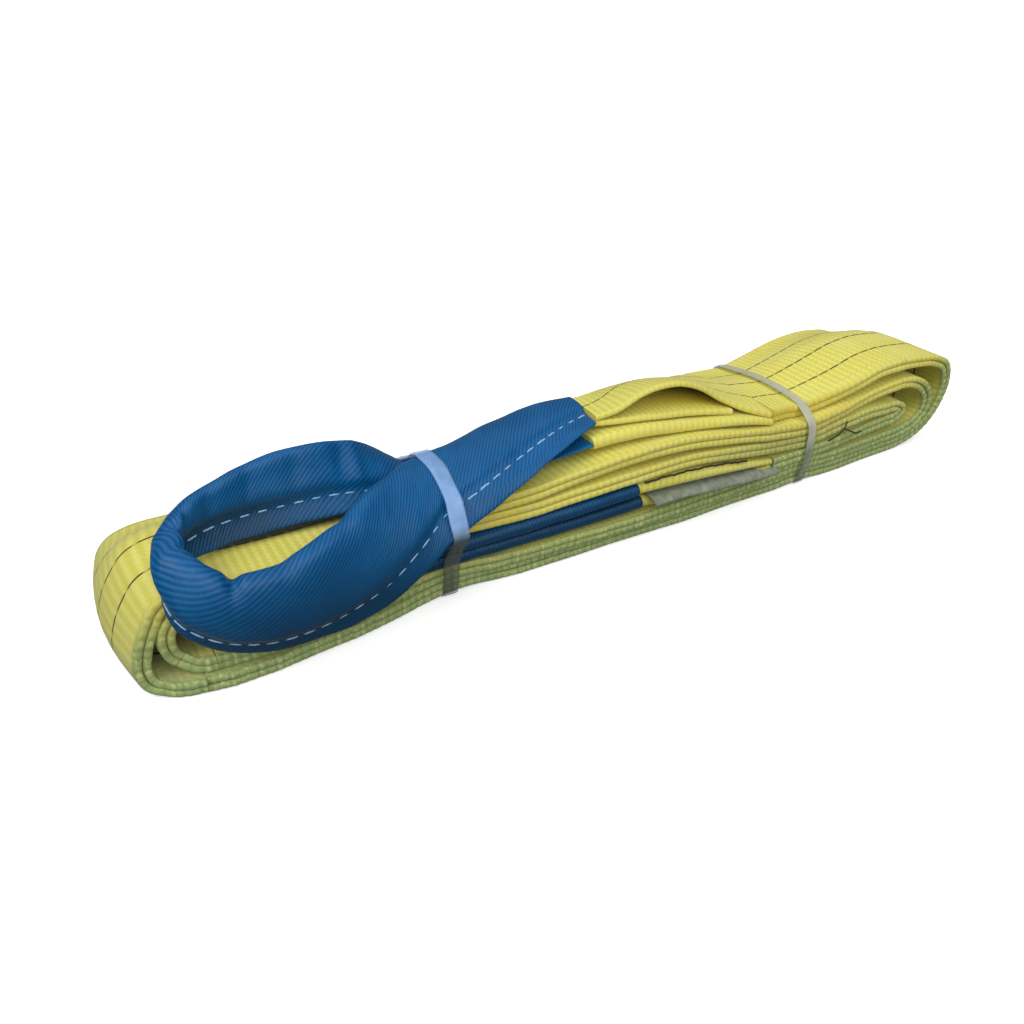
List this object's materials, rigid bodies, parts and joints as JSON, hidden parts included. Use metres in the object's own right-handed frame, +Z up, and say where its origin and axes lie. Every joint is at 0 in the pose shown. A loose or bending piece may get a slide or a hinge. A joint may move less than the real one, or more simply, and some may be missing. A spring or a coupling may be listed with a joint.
{
  "type": "flat web sling",
  "caption": "Yellow flat duplex web sling with blue eye sleeves, folded to and fro into a bundle and held by clear plastic ties; one eye lifts.",
  "frame": {"origin": "middle of the resting face under the folded bundle, half way along its length and half way across the webbing", "axes": "+X along the bundle from the eye end to the fold end, +Y away from the side with the open eye, +Z up"},
  "size_m": [0.5056, 0.1192, 0.0861],
  "materials": {
    "webbing": "woven polyester, matt with a slight sheen",
    "sleeve_cloth": "blue twill weave",
    "seam_thread": "pale sewing thread",
    "splice_thread": "off-white sewing thread",
    "label_cloth": "plain grey label tape",
    "dark_thread": "black sewing thread",
    "tie_plastic": "thin translucent film tie"
  },
  "bodies": {
    "bundle": {"top_run_upper_ply": "webbing", "top_run_lower_ply": "webbing", "bottom_run_outer_ply": "webbing", "bottom_run_inner_ply": "webbing", "fourth_run_outer_ply": "webbing", "fourth_run_inner_ply": "webbing", "second_run_outer_ply": "webbing", "second_run_inner_ply": "webbing", "third_run_outer_ply": "webbing", "third_run_inner_ply": "webbing", "core_run_outer_ply": "webbing", "core_run_inner_ply": "webbing", "upper_eye_top_leg_webbing": "webbing", "upper_eye_under_leg_webbing": "webbing", "upper_eye_top_leg_outer_half": "webbing", "upper_eye_top_leg_inner_half": "webbing", "upper_eye_under_leg_bare": "webbing", "lower_eye_webbing": "webbing", "lower_eye_top_leg_bare": "webbing", "lower_eye_under_leg_bare": "webbing", "upper_eye_top_leg_sleeve": "sleeve_cloth", "upper_eye_under_leg_sleeve": "sleeve_cloth", "lower_eye_sleeve": "sleeve_cloth", "upper_eye_top_leg_seam": "seam_thread", "upper_eye_under_leg_seam": "seam_thread", "lower_eye_seam": "seam_thread", "upper_splice_stitches": "splice_thread", "identity_label": "label_cloth", "black_thread": "dark_thread", "thread_tail": "dark_thread", "left_tie": "tie_plastic", "right_tie": "tie_plastic"},
    "upper_eye_loop": {"upper_eye_loop_webbing": "webbing", "upper_eye_loop_sleeve": "sleeve_cloth", "upper_eye_loop_seam": "seam_thread"}
  },
  "joints": [
    {"name": "eye_lift", "type": "hinge", "parent": "bundle", "child": "upper_eye_loop", "pos_m": [-0.103, -0.037, 0.07], "axis": [0, 1, 0], "range_deg": [0, 55]}
  ]
}
